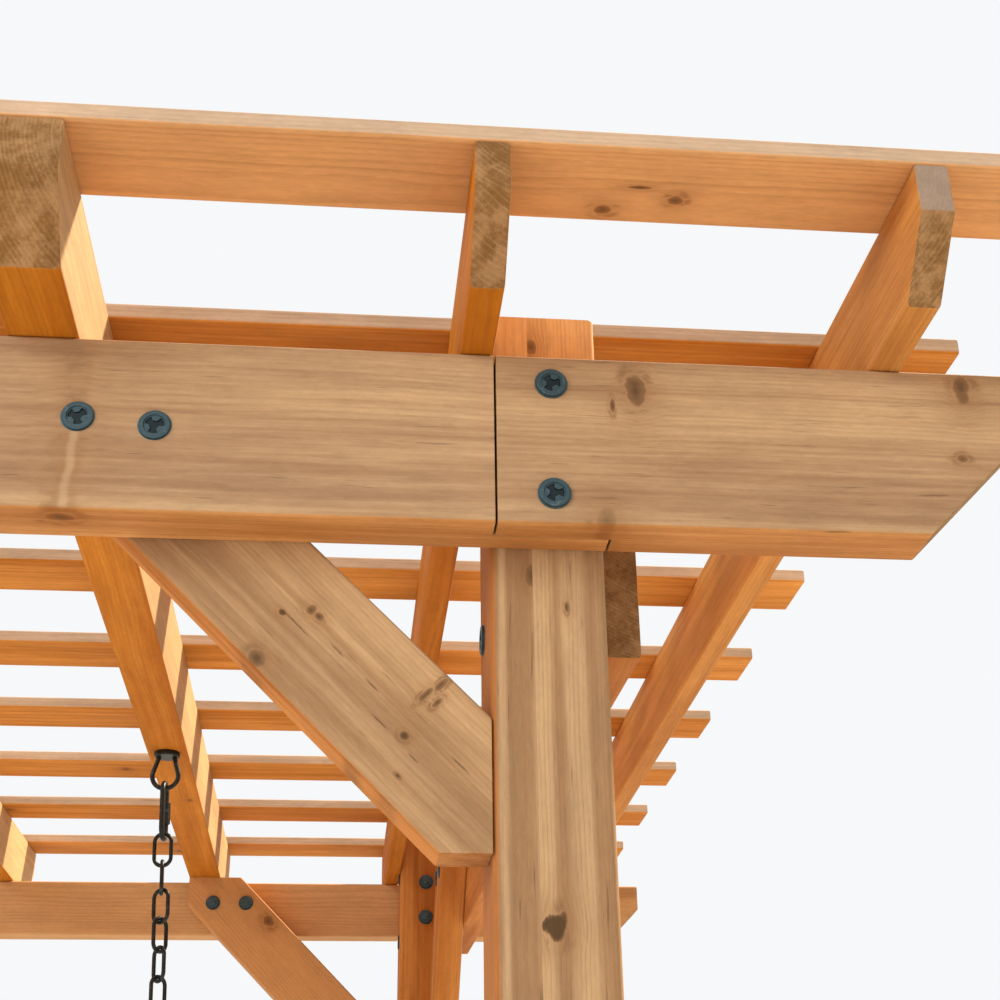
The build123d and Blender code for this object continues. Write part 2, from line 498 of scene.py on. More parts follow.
class Cedar(Finish):
    """Stained cedar: growth rings round a pith, streaks, knots, cracks, end grain and weathering."""

    def __init__(self, name, board):
        super().__init__(name, Specular_IOR_Level=0.15)
        self.board = board
        self.marks = board.marks
        self.place = self.add("TexCoord", output="Object")
        turn = Matrix((board.grain, board.across, board.through))
        local = self.add("Mapping", None, {"Vector": self.place, "Location": -(turn @ board.centre),
                                           "Rotation": turn.to_euler()})
        self.u, self.v, self.w = self.parts(local)
        self.shift = [board.draw.uniform(-9, 9) for _ in range(3)]
        self.glue_staves()
        self.lead_round_knots()
        self.grow_rings()
        self.broad = self.patch(*BROAD_STREAKS)
        self.streak = self.patch(*FINE_STREAKS)
        self.cloud = self.patch(*CLOUDS)
        self.fibre = self.patch(*FIBRES)
        self.fuzz = self.patch(*FUZZ)
        self.hair = self.smooth(self.patch(*HAIR_CRACKS), 0.65, 0.75)
        self.weather()
        self.stain()
        self.face = self.mix(self.end * 0.85, self.face, self.end_grain())
        self.face = self.mix(self.hair * self.dulled * 0.4, self.face, CRACK)
        self.height = self.fibre * FIBRE_RELIEF + self.fuzz * FUZZ_RELIEF + self.late * LATE_RELIEF
        self.colour_knots()
        self.split_cracks()
        self.dry_runs()
        # The colour is brightened where light is painted on a post's head
        grey = (0.53 + self.fibre * 0.20 + self.fuzz * 0.34 + self.cloud * 0.40) * self.painted_lift
        self.set(Base_Color=self.multiply(self.face, grey),
                 Roughness=0.62 + self.streak * 0.2 + self.end * 0.1)
        self.bump(self.height, 0.9)

    def patch(self, along, wide, detail=2.0, roughness=0.5):
        """Noise stretched along the grain, by its size along and across."""
        spot = self.vector(self.u / along + self.shift[0], self.sawn / wide + self.shift[1],
                           self.w / wide + self.shift[2])
        return self.noise(spot, 1.0, detail, roughness)

    def glue_staves(self):
        """In a post glued of two staves, the wood beyond the seam comes from elsewhere in the log."""
        self.sawn, self.seam, self.deeper = self.v, None, self.marks.get("deeper", 0.0)
        if "seam" in self.marks:
            self.seam = self.marks["seam"] * MM
            beyond = self.smooth(self.v, self.seam - SEAM_HALF, self.seam + SEAM_HALF)
            self.sawn = self.v + beyond * STAVE_SHIFT
            self.deeper = (1 - beyond) * 0.1 + self.deeper

    def lead_round_knots(self):
        """Leads the grain round the knots, and finds their bodies, cores, smears and glow."""
        wobble = self.patch(*KNOT_WOBBLE) - 0.5
        self.flow, self.low_flow = self.sawn, self.w
        self.heart = self.core = self.smear = self.glow = 0.0
        for spot, long, wide, *more in self.marks.get("knots", ()):
            dark = more[0] if more else 0.0
            along, aside, deep = self.board.place(spot)
            on_edge = self.board.on_edge(spot)
            if self.seam is not None and aside > self.seam:
                aside = aside + STAVE_SHIFT
            du = (self.u - along) / (long * MM)
            dv = (self.w - deep if on_edge else self.sawn - aside) / (wide * MM)
            far = (du * du + dv * dv).root() + wobble * 1.1
            led = dv * (wide * MM) * (far * far * -0.4).exp()
            if on_edge:
                self.low_flow = self.low_flow - led
            else:
                self.flow = self.flow - led
            solid = 1 + 0.6 * min(dark, 0) + 0.12 * max(dark, 0)
            body = (1 - self.smooth(far, 0.75 + 0.15 * dark, 1.1 - 0.05 * dark)) * solid
            self.heart = body.most(self.heart)
            self.core = (1 - self.smooth(far, 0.7 * max(dark, 0), 0.8 + 0.3 * dark)).most(self.core)
            self.smear = (self.smooth(far, 0.9, 1.3) - self.smooth(far, 1.5, 2.3)).most(self.smear)
            self.glow = (far * far * -0.14).exp().most(self.glow)

    def grow_rings(self):
        """Growth rings, a little wavy, with darker late wood of a strength that differs by year."""
        sway = (self.patch(*RING_SWAY) - 0.5) * SWAY
        ripple = (self.patch(*RING_RIPPLE) - 0.5) * RIPPLE
        ring_v = self.flow + sway - self.board.pith[0]
        ring_w = self.low_flow + sway * 0.6 - self.board.pith[1]
        age = ((ring_v * ring_v + ring_w * ring_w).root() + ripple) / RING_GAP
        self.season = age.part_of_one()
        self.year = self.add("TexWhiteNoise", {"noise_dimensions": "1D"}, {"W": age.whole()})
        turned = self.smooth(self.season, 0.35, 0.92) * (1 - self.smooth(self.season, 0.92, 1.0))
        self.late = turned * (self.year * 0.7 + 0.3)

    def towards(self, way):
        """How far a face looks along a way."""
        return self.add("VectorMath", {"operation": "DOT_PRODUCT"}, {0: self.facing, 1: way}, 1)

    def weather(self):
        """Which faces are end grain, which ones the weather has dulled, and where light is painted on a
        post's head.
        """
        marks = self.marks
        self.facing = self.add("NewGeometry", output="Normal")
        end_from = marks.get("end_from", 0.35)
        self.end = self.smooth(abs(self.towards(self.board.grain)), end_from, end_from + 0.35)
        outward = self.towards(self.board.weather)
        dulled = self.smooth(outward, 0.1, 0.8) * (0.86 + (self.broad - 0.5) * 0.4)
        self.dulled = dulled.most(marks.get("faded", 0.0))
        self.painted_lift = 1.0
        # Painted light: above these heights a post's head is painted paler, less weathered and up to 45%
        # brighter, as if more light fell on it
        if "painted_light_above" in marks:
            painted_light = self.smooth(self.u, *[self.board.place((0, 0, up))[0] for up in marks["painted_light_above"]])
            self.dulled = self.dulled * (1 - painted_light * 0.6)
            self.deeper = self.deeper - painted_light * 0.5
            self.painted_lift = painted_light * 0.45 + 1.0

    def stain(self):
        """The stained face: bands, pale and deep streaks, and the late wood's lines."""
        for aside, half, paler in self.marks.get("bands", ()):
            drift = (self.patch(*BAND_DRIFT) - 0.5) * (7 * MM)
            off = (self.v - aside * MM + drift) / (half * MM)
            self.deeper = self.deeper - (off * off * -0.9).exp() * paler
        spread = self.marks.get("spread", 0.15)
        depth = self.broad * 0.6 + self.streak * 0.4 + self.deeper
        tone = self.smooth(depth, 0.49 - spread, 0.49 + spread)
        sheltered_pale, sheltered_deep, weathered_pale, weathered_deep = self.board.tones
        sheltered = self.mix(tone, sheltered_pale, sheltered_deep)
        weathered = self.mix(tone, weathered_pale, weathered_deep)
        face = self.mix(self.dulled, sheltered, weathered)
        late_colour = self.mix(self.dulled, LATE_WOOD, WEATHERED_LATE)
        self.face = self.mix(self.late * (0.34 - self.dulled * 0.14), face, late_colour)

    def end_grain(self):
        """The colour of sawn ends: faint pale rings, mottled, and greyer where they are bleached."""
        pale_ring = self.smooth(self.season, 0.0, 0.15) * (1 - self.smooth(self.season, 0.2, 0.45))
        rough = self.noise(self.place, 60.0, 6.0, 0.75)
        pale = pale_ring * (self.year * 0.3 + 0.05) + self.smooth(rough, 0.38, 0.62) * 0.7
        cut = self.mix(pale, END_GRAIN, END_PALE)
        if "bleached" in self.marks:
            upright = self.smooth(self.parts(self.facing)[2], -0.45, -0.1)
            cut = self.mix(upright * self.marks["bleached"], cut, END_BLEACHED)
        return cut

    def colour_knots(self):
        """Soft dark knots with smudges round them, that stand a little proud."""
        if not self.marks.get("knots"):
            return
        fill = self.mix(self.dulled, KNOT_WARM, KNOT_FILL)
        glow = self.mix(self.dulled, KNOT_WARM, KNOT_GLOW)
        smudge = self.smear * self.smooth(self.cloud * 0.6 + self.fuzz * 0.4, 0.47, 0.57) * 0.6
        face = self.mix(self.glow * 0.4, self.face, glow)
        face = self.mix(smudge, face, fill)
        self.face = self.mix(self.heart * 0.85, face, self.mix(self.core, fill, KNOT_HEART))
        self.height = self.height + self.heart * KNOT_RELIEF - self.smear * KNOT_RELIEF

    def split_cracks(self):
        """Short drying cracks along the grain."""
        for spot, long, wide in self.marks.get("cracks", ()):
            along, aside, _ = self.board.place(spot)
            reach = 1 - self.smooth(abs(self.u - along) / (long * MM / 2), 0.25, 1.1)
            drift = (self.patch(*CRACK_DRIFT) - 0.5) * (2.5 * MM)
            line = abs(self.v - aside + drift) / (wide * MM)
            gap = (1 - self.smooth(line, 0.2, 1.2)) * reach
            self.face = self.mix(gap * (0.1 + self.fuzz * 0.6), self.face, CRACK)
            self.height = self.height - gap * CRACK_DEPTH

    def dry_runs(self):
        """Runs of stain that dried pale, with a thin darker shore."""
        for spot, long, wide in self.marks.get("runs", ()):
            along, aside, _ = self.board.place(spot)
            bend = (self.patch(*RUN_DRIFT) - 0.5) * (9 * MM)
            off = abs(self.u - along - (self.v - aside) * 0.065 + bend) / (wide * MM)
            reach = 1 - self.smooth(abs(self.v - aside) / (long * MM / 2), 0.9, 1.0)
            run = reach * self.dulled * (0.4 + self.cloud)
            self.face = self.mix(run * (1 - self.smooth(off, 0.2, 1.1)) * 0.45, self.face, DRIED_STAIN)
            shore = self.smooth(off, 0.8, 1.3) * (1 - self.smooth(off, 1.4, 2.6))
            self.face = self.mix(run * shore * 0.3, self.face, KNOT_GLOW)


def black_steel(name, coat, worn):
    """Black coated steel with a faint orange-peel skin and rubbed high spots."""
    steel = Finish(name, Metallic=0.6, Specular_IOR_Level=0.5)
    place = steel.add("TexCoord", output="Object")
    skin = steel.noise(place, 900.0, 2.0)
    rubbed = steel.smooth(steel.noise(place, 160.0, 3.0, 0.65), 0.55, 0.75) * worn
    shade = steel.mix(rubbed, coat, WORN_STEEL)
    steel.set(Base_Color=shade, Roughness=0.30 + skin * 0.2 - rubbed * 0.1)
    steel.bump(skin * (0.08 * MM), 0.6)
    return steel.material


# Boards

# What shows on the boards near the camera, in millimetres of the pergola. A knot is its place, half
# length, half width and how dark it is, from -1 to 1; a crack or a run of stain its place, length
# and half width; a band its way across, half width and how much paler it is; seam where two staves
# are glued. Deeper darkens the stain, spread softens it, faded is the least weathering, end grain
# starts from end_from, and bleached is its greyness. Between two given heights on a post, light is
# painted on: above them the head is painted paler, less weathered and brighter.
MARKS = {
    "front_beam": {
        "knots": (((699.4, -880, 1890), 11, 7),),
        "runs": (((703, -893, 1920), 74, 4),)},
    "front_right_beam_end": {
        "deeper": 0.05,
        "knots": (((1108.6, -893, 2003), 7.5, 14), ((1091, -893, 1989), 2, 6),
                  ((1082.5, -893, 1895), 8, 9, -0.8), ((1084.5, -893, 1885), 11, 3),
                  ((1362, -893, 2015), 7, 12), ((1353.7, -893, 1954.3), 5, 3.5)),
        "cracks": (((1328, -893, 1923), 30, 0.8), ((1252, -893, 1891.5), 24, 0.7),
                   ((1046, -893, 2004), 14, 1.3))},
    "front_right_knee_brace": {
        "spread": 0.12, "end_from": 0.55,
        "knots": (((874.9, -847, 1838.9), 3.5, 4), ((880.4, -847, 1834), 3.5, 2.5),
                  ((854.6, -847, 1836.4), 3, 2.4, 0.5), ((839, -847, 1801.7), 7, 5.5),
                  ((956.8, -847, 1777.3), 2.2, 7), ((967.8, -847, 1784.9), 2.4, 6),
                  ((964.9, -847, 1771.4), 2, 4.5), ((942.4, -847, 1747), 3.6, 3.2, 0.4),
                  ((938, -847, 1718.7), 2, 1, 0.6)),
        "cracks": (((894.7, -847, 1808.6), 16, 0.8), ((919.7, -847, 1783.3), 16, 0.8),
                   ((925.4, -847, 1756.8), 18, 0.7), ((981.1, -847, 1727), 20, 0.8),
                   ((949.2, -847, 1731.2), 12, 0.7), ((864, -847, 1829), 34, 0.6),
                   ((906.4, -847, 1724), 24, 2.2), ((929.9, -847, 1700), 26, 2.2))},
    "front_right_post": {
        # Above 2022 to 2030 mm this post's head has painted light
        "spread": 0.16, "seam": -11.5, "faded": 0.25, "painted_light_above": (2022, 2030),
        "bands": ((-41, 3, -0.2), (-34, 3.5, 0.26), (-22, 8, -0.07), (-7, 5.5, 0.2),
                  (5, 2.5, -0.12), (18, 9, 0.17), (34, 5, -0.08)),
        "knots": (((1044, -847, 1618.8), 9, 8.5, 1.0), ((1033, -847, 1869.6), 9, 4),
                  ((1058.3, -847, 1845.8), 4, 1.5), ((1037, -847, 2066), 7, 4.5)),
        "cracks": (((1033.5, -847, 1560), 50, 1.0),)},
    "right_end_rafter": {"faded": 0.25, "bleached": 0.85},
    "right_post_rafter": {},
    "right_swing_rafter": {"knots": (((684.5, 335, 2030), 4, 3),)},
    "rear_right_knee_brace": {"faded": 0.35, "deeper": -0.3, "knots": (((784.3, 808, 1957), 10, 9),)},
    "rear_right_post": {"spread": 0.12},
    "rear_beam": {"faded": 0.35, "deeper": -0.35},
    "rear_right_beam_end": {"faded": 0.25, "deeper": -0.1},
    "roof_slat_1": {
        "faded": 0.3, "deeper": -0.25,
        "knots": (((1079, -956.7, 2119.5), 7, 6), ((1131, -971.8, 2119.5), 6, 5.5),
                  ((1101.8, -984.7, 2119.5), 8, 2))},
}

# Where the log's middle was, across and through the board: by chance, and for ends that show rings
PITH_ASIDE = (-0.09, 0.09)
PITH_DEEP = (0.05, 0.12)
PITHS = {"right_side_rail": (0.095, 0.055), "right_post_rafter": (0.10, 0.06),
         "right_end_rafter": (0.05, -0.09), "right_swing_rafter": (0.04, 0.08)}

# Knots by chance: metres to the first and to the next, millimetres aside and in size, how drawn out
FIRST_KNOT = (0.1, 0.7)
NEXT_KNOT = (0.35, 1.2)
KNOT_ASIDE = (-35, 35)
KNOT_SIZE = (3.5, 6.5)
KNOT_DRAWN = (0.9, 1.4)


def board_for(node, grain, across, weather):
    """The board that a node stands for, with its own marks or with knots drawn by chance."""
    low, high = corners(node)
    seed = sum(ord(letter) * (place + 3) for place, letter in enumerate(node))
    tones = [found for kind, found in TONES.items() if kind in node] or [FRAME_TONES]
    board = Board((low, high), grain, across, seed, weather, tones[0], PITHS.get(node),
                  MARKS.get(node))
    if node not in MARKS:
        board.marks = {"knots": chance_knots(board, (high - low).length)}
    return board


def chance_knots(board, length):
    """Knots scattered along a board, about one for every 0.8 m."""
    found = []
    along = -length / 2 + board.draw.uniform(*FIRST_KNOT)
    while along < length / 2:
        spot = board.centre + board.grain * along + board.across * board.draw.uniform(*KNOT_ASIDE) * MM
        size = board.draw.uniform(*KNOT_SIZE)
        found.append((spot / MM, size * board.draw.uniform(*KNOT_DRAWN), size))
        along += board.draw.uniform(*NEXT_KNOT)
    return found


def finish_board(piece, node, board, long_edge=EASED_LONG):
    """Rounds a sawn board, gives it its cedar and seats it."""
    ease(piece, board.grain, long_edge)
    slot = "slat_cedar" if node.startswith("roof_slat") else "frame_cedar"
    seat(close(piece), Cedar(node + "_cedar", board).material, slot, node)


def plain_board(node, board):
    """A straight board, square at its ends."""
    low, high = corners(node)
    if node.startswith("roof_slat"):
        high.z -= SCREW_PROUD
    piece = block(node + "_wood", low, high)
    finish_board(piece, node, board, EASED_POST if node.endswith("_post") else EASED_LONG)


def nosed_board(node, board):
    """A board whose ends are sawn slanting below an upright nose."""
    low, high = corners(node)
    piece = block(node + "_wood", low, high)
    for tip, way in ((low, -1), (high, 1)):
        nose = board.grain * tip.dot(board.grain) + Z * (high.z - NOSE_H)
        saw(nose, board.grain * way - Z)
    finish_board(piece, node, board)


def halve(centre_y):
    """Divides a beam's end faces into a front half and a rear half."""
    select_all()
    bpy.ops.mesh.bisect(plane_co=(0, centre_y, 0), plane_no=Y)


def draw_tongue(piece, end, half, centre_y, length):
    """Draws one half of a beam's end face out to a tongue for the lap."""
    choose(piece, "faces", lambda face: face.normal.x * end > 0.9
           and (middle_of(face).y - centre_y) * half > 0)
    push((end * length, 0, 0))


def merge_flat():
    """Makes one face of those that lie in one plane."""
    select_all()
    bpy.ops.mesh.dissolve_limited(angle_limit=0.01)


def lapped_beam(node, board, lap_x):
    """The middle board of a beam, with a half-thick tongue past each shoulder."""
    low, high = corners(node)
    inner = 1 if board.centre.y < 0 else -1
    centre_y = (low.y + high.y) / 2
    piece = block(node + "_wood", Vector((-lap_x, low.y, low.z)), Vector((lap_x, high.y, high.z)))
    halve(centre_y)
    for way in (-1, 1):
        draw_tongue(piece, way, inner, centre_y, high.x - lap_x)
    merge_flat()
    finish_board(piece, node, board, EASED_BEAM)


def beam_end(node, board, lap_x, post_x):
    """A beam's end piece: a half-thick tongue over the post, and a slanted, nosed end."""
    low, high = corners(node)
    way = 1 if board.centre.x > 0 else -1
    outer = -1 if board.centre.y < 0 else 1
    centre_y = (low.y + high.y) / 2
    tip_x = high.x if way > 0 else low.x
    near, far = sorted((way * (post_x + JOINT_GROOVE), tip_x))
    piece = block(node + "_wood", Vector((near, low.y, low.z)), Vector((far, high.y, high.z)))
    halve(centre_y)
    draw_tongue(piece, -way, outer, centre_y, post_x - lap_x)
    merge_flat()
    saw(Vector((tip_x, 0, high.z - NOSE_H)), X * way - Z)
    finish_board(piece, node, board, EASED_BEAM)


def rail_slope(rail):
    """How steeply a side rail rises towards the rear."""
    low, high = rail
    return (high.z - low.z - RAIL_H) / (high.y - low.y)


def saw_along_top(rail):
    """Saws off what stands above the sloping top edge of a side rail."""
    saw(rail[0] + Z * RAIL_H, Z - Y * rail_slope(rail))


def side_rail(node, board):
    """A rail that rises towards the rear, with upright ends."""
    low, high = corners(node)
    piece = block(node + "_wood", low, high)
    saw_along_top((low, high))
    saw(low, Y * rail_slope((low, high)) - Z)
    finish_board(piece, node, board)


def knee_brace(node, board, away, rail=None):
    """A brace sawn at 45 degrees along both edges; away points from the post along the beam."""
    low, high = corners(node)
    piece = block(node + "_wood", low, high)
    at_post = min(high.dot(away), low.dot(away))
    across = away.cross(Z)
    layer = across * board.centre.dot(across)
    toe = layer + away * (at_post + BRACE_TOE) + Z * low.z
    crook = layer + away * at_post + Z * (low.z - BRACE_TOE + BRACE_W * math.sqrt(2))
    saw(toe, away - Z)
    saw(crook, Z - away)
    if rail:
        saw_along_top(rail)
    finish_board(piece, node, board)


def build_woodwork():
    """Every board of the pergola, from the frame's nodes."""
    post_low, post_high = corners("front_right_post")
    lap_x, post_x = post_low.x, post_high.x
    for end, out in (("front", -1), ("rear", 1)):
        weather = (0, out, 0.9)
        board = board_for(end + "_beam", X, Z, weather)
        lapped_beam(end + "_beam", board, lap_x)
        for side, way in (("right", 1), ("left", -1)):
            node = f"{end}_{side}_beam_end"
            board = board_for(node, X, Z, weather)
            beam_end(node, board, lap_x, post_x)
            node = f"{end}_{side}_post"
            board = board_for(node, Z, X, (way * 0.9, out, 0.5))
            plain_board(node, board)
            node = f"{end}_{side}_knee_brace"
            board = board_for(node, (X * way - Z), (X * way + Z), (0, out, 0.5))
            knee_brace(node, board, X * -way)
            node = f"{end}_{side}_side_brace"
            board = board_for(node, (Y * out - Z), (Y * out + Z), (way, 0, 0.5))
            knee_brace(node, board, Y * -out, corners(side + "_side_rail"))
    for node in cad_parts:
        if node.endswith("_rafter"):
            nosed_board(node, board_for(node, Y, Z, (0.9, 0, 1)))
        elif node.startswith("roof_slat"):
            plain_board(node, board_for(node, X, Y, (0, -0.9, 1)))
        elif node.endswith("_side_rail"):
            way = 1 if node.startswith("right") else -1
            slope = rail_slope(corners(node))
            side_rail(node, board_for(node, Y + Z * slope, Z - Y * slope, (way, 0, 0.5)))


# Ironwork

def round_bar(name, sides, radius, low, high):
    """Starts a piece as a round bar standing on Z."""
    deselect()
    bpy.ops.mesh.primitive_cylinder_add(vertices=sides, radius=radius, depth=high - low,
                                        location=(0, 0, (low + high) / 2))
    return open_new(name)


def top_face(piece):
    highest = max(vertex.co.z for vertex in bmesh.from_edit_mesh(piece.data).verts)
    choose(piece, "faces", lambda face: face.normal.z > 0.9
           and middle_of(face).z > highest - NEAR and middle_of(face).xy.length < ON_AXIS)


def inset(width):
    bpy.ops.mesh.inset(thickness=width, depth=0)


def grow(share):
    bpy.ops.transform.resize(value=(share, share, 1))


def lobes(piece, height):
    """Draws the rim of a recess in between its lobes."""
    def between(vertex):
        turn = (math.atan2(vertex.co.y, vertex.co.x) * LOBES / math.tau) % 1.0
        return (abs(turn - 0.5) < LOBE_GAP and abs(vertex.co.z - height) < NEAR
                and vertex.co.xy.length < LOBE_R)

    choose(piece, "verts", between)
    grow(LOBE_PINCH)


def bolt_head_pattern(steel, shade):
    """A flat round head with a thin flange, a raised ring and a lobed recess whose deep part is painted
    as shade, standing on Z.
    """
    head = round_bar("bolt_head_pattern", BOLT_SIDES, BOLT_R, 0, FLANGE_H)
    head.data.materials.append(steel)
    head.data.materials.append(shade)
    ring_h = HEAD_H - FLANGE_H
    ledge_z = HEAD_H - RECESS_STEP
    top_face(head)
    inset(FLANGE_W)
    push((0, 0, ring_h * RING_STEEP))
    inset(RING_SHOULDER)
    push((0, 0, ring_h * (1 - RING_STEEP)))
    grow(RING_DRAFT)
    inset(RING_W)
    push((0, 0, -RECESS_STEP))
    grow(RECESS_DRAFT)
    inset(RECESS_LEDGE)
    lobes(head, ledge_z)
    choose(head, "faces", lambda face: face.normal.z > 0.9
           and abs(middle_of(face).z - ledge_z) < NEAR and middle_of(face).xy.length < ON_AXIS)
    push((0, 0, -RECESS_STEP))
    grow(LOBE_DRAFT)
    # Painted shade: the deep lobes and their walls take the near-black material as the shade in the
    # recess
    choose(head, "faces", lambda face: middle_of(face).xy.length < RECESS_R
           and FLANGE_H < middle_of(face).z < HEAD_H - 1.2 * RECESS_STEP)
    head.active_material_index = 1
    bpy.ops.object.material_slot_assign()
    choose(head, "edges", lambda edge: all(abs(vertex.co.z - FLANGE_H) < NEAR
           and vertex.co.xy.length > BOLT_R * 0.99 for vertex in edge.verts))
    soften(FLANGE_EASE, 3)
    return close(head)


def nut_pattern():
    """A washer and a six-sided nut with its corners taken off, on the threaded end of its bolt."""
    washer = round_bar("washer_pattern", 32, WASHER_R, 0, WASHER_H)
    choose(washer, "edges", lambda edge: is_sharp(edge, 1))
    soften(WASHER_EASE, 2)
    washer = close(washer)
    nut = round_bar("nut_pattern", 6, NUT_R, WASHER_H, NUT_H)
    choose(nut, "edges", is_sharp)
    soften(NUT_EASE, 2)
    nut = close(nut)
    rod = round_bar("rod_pattern", 24, ROD_R, NUT_H * 0.5, NUT_H)
    top_face(rod)
    half_pitch = (0, 0, ROD_OUT / (2 * THREADS + 1))
    for _ in range(THREADS):
        push(half_pitch)
        grow(THREAD_ROOT)
        push(half_pitch)
        grow(1 / THREAD_ROOT)
    push(half_pitch)
    grow(ROD_TIP)
    return join("nut_pattern", [nut, washer, close(rod)])


def screw_pattern():
    """A flat screw head with a cross-shaped recess."""
    def beside_cross(vertex):
        step = round(math.degrees(math.atan2(vertex.co.y, vertex.co.x)) / 22.5)
        return abs(vertex.co.z) < NEAR and vertex.co.xy.length < SCREW_R * 0.8 and step % 4 == 2

    screw = round_bar("screw_pattern", 16, SCREW_R, -SCREW_L, 0)
    top_face(screw)
    inset(CROSS_INSET)
    choose(screw, "verts", beside_cross)
    grow(CROSS_PINCH)
    top_face(screw)
    push((0, 0, -CROSS_DEPTH))
    grow(CROSS_DRAFT)
    return close(screw)


def link_pattern(name, length, width, wire, steps=40, ring=14):
    """An oval link of round steel: a ring whose upper half is drawn away from its lower half."""
    deselect()
    radius = (width - wire) / 2
    bpy.ops.mesh.primitive_torus_add(major_radius=radius, minor_radius=wire / 2, major_segments=steps,
                                     minor_segments=ring, rotation=(math.pi / 2, 0, 0))
    link = open_new(name)
    select_all()
    half = math.pi / steps
    bpy.ops.transform.rotate(value=half, orient_axis="Y", center_override=(0, 0, 0))
    for way in (-1, 1):
        choose(link, "verts", lambda vertex: vertex.co.z * way > 0)
        bpy.ops.transform.translate(value=(0, 0, way * (length - width) / 2))
    return link


def hanger_pattern():
    """A round plate under the rafter with a pear-shaped loop."""
    plate = round_bar("hanger_pattern", 64, PLATE_R, -PLATE_H, 0)
    choose(plate, "edges", lambda edge: is_sharp(edge, 0.5)
           and all(vertex.co.z < -PLATE_H * 0.9 for vertex in edge.verts))
    soften(PLATE_EASE, 5)
    plate = close(plate)
    return join("hanger_pattern", [plate, close(bent_loop())])


def bent_loop():
    """A pear-shaped loop: two straight legs that run smoothly into a round bend."""
    centre = Vector((0, 0, LOOP_BEND))
    neck = Vector((-LOOP_NECK, 0, -PLATE_H / 2))
    reach = neck - centre
    lean = math.atan2(reach.z, -reach.x) - math.acos(LOOP_R / reach.length)
    touch = centre + Vector((-math.cos(lean), 0, math.sin(lean))) * LOOP_R
    leg = touch - neck
    deselect()
    bpy.ops.mesh.primitive_circle_add(vertices=16, radius=LOOP_WIRE / 2, fill_type="NGON", location=neck,
                                      rotation=leg.to_track_quat("Z", "Y").to_euler())
    loop = open_new("loop_pattern")
    select_all()
    push(leg)
    bpy.ops.mesh.spin(steps=30, angle=math.pi + 2 * lean, center=centre, axis=Y)
    push((leg.x, 0, -leg.z))
    return loop


def hang_chain(node, spot, side, steel, links):
    """The hook link, the chain and its end ring, each hung in the one above, leaning outwards."""
    eye = Matrix.Translation(spot + Z * LOOP_BEND) @ Matrix.Rotation(-CHAIN_LEAN * side, 4, "Y")
    low, above = -LOOP_R - LOOP_WIRE / 2, LOOP_WIRE
    hung = []
    for count, (pattern, length, wire, turn) in enumerate(links):
        high = low + above + wire + PLAY
        place = eye @ Matrix.Translation(Z * (high - length / 2))
        turned = Matrix.Rotation(math.radians(turn) * side, 4, "Z")
        if side < 0:
            turned = turned @ Matrix.Rotation(math.pi, 4, "Z")
        hung.append(copy_to(pattern, f"{node}_link_{count}", place @ turned))
        low, above = high - length, wire
    seat(join(node + "_steel", hung), steel, "black_steel", node)


def hang_chains():
    """Both hangers and chains, under the swing rafters."""
    steel = black_steel("chain_black_steel", CHAIN_STEEL, 0.4)
    hanger = hanger_pattern()
    hook_l, hook_w, hook_wire, hook_turn = HOOK_LINK
    hook = close(link_pattern("hook_pattern", hook_l, hook_w, hook_wire))
    sleeve = round_bar("sleeve_pattern", 6, SLEEVE_R, -SLEEVE_L / 2, SLEEVE_L / 2)
    choose(sleeve, "edges", is_sharp)
    soften(SLEEVE_EASE, 2)
    select_all()
    bpy.ops.transform.translate(value=((hook_w - hook_wire) / 2, 0, 0))
    hook = join("hook_pattern", [hook, close(sleeve)])
    length, width, wire = CHAIN_LINK
    link = close(link_pattern("link_pattern", length, width, wire))
    ring_l, ring_w, ring_wire, ring_turn = END_RING
    ring = close(link_pattern("ring_pattern", ring_l, ring_w, ring_wire))
    links = [(hook, hook_l, hook_wire, hook_turn)]
    links += [(link, length, wire, turn) for turn in CHAIN_TURNS]
    links += [(ring, ring_l, ring_wire, ring_turn)]
    for where, side in (("right", 1), ("left", -1)):
        node = where + "_swing_hanger"
        low, high = corners(node)
        spot = Vector(((low.x + high.x) / 2, (low.y + high.y) / 2, high.z))
        seat(copy_to(hanger, node + "_steel", Matrix.Translation(spot)), steel, "black_steel", node)
        hang_chain(where + "_swing_chain", spot, side, steel, links)
    discard(hanger, hook, link, ring)


def discard(*patterns):
    """Removes the patterns that the pieces were copied from."""
    deselect()
    for pattern in patterns:
        pattern.select_set(True)
    bpy.ops.object.delete()


def bolt_head(name, head, steel, spot, way, spin):
    """A bolt head that sits on a face and looks along way."""
    seat(copy_to(head, name + "_head", facing(spot, way, spin)), steel, "black_steel")


def through_bolt(name, patterns, steel, spot, way, grip, spin):
    """A bolt through the boards: its head on the outer face and its nut on the inner one."""
    head, nut = patterns
    bolt_head(name, head, steel, spot, way, spin)
    seat(copy_to(nut, name + "_nut", facing(spot - way * grip, -way, spin * 2)), steel, "black_steel")


